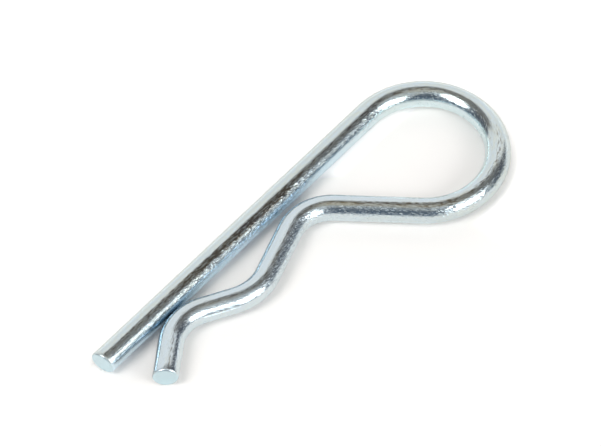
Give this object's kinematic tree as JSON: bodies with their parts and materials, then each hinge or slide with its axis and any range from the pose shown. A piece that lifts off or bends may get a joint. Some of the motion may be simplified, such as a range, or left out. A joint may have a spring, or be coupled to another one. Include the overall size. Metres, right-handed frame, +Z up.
{
  "type": "hitch clip pin",
  "caption": "R-shaped spring clip bent from one round wire: a straight leg, a teardrop eye and a wavy leg whose hollow snaps round a shaft.",
  "frame": {"origin": "on the ground under the middle of the clip's outer box, with the clip lying flat", "axes": "+X along the straight leg from its cut end to the eye, +Y towards the straight leg, +Z up through the eye"},
  "size_m": [0.0752, 0.0264, 0.004],
  "materials": {
    "zinc_plated_wire": "bright zinc plate, clear passivated, over drawn spring wire"
  },
  "bodies": {
    "root": {"clip_wire": "zinc_plated_wire"}
  },
  "joints": []
}
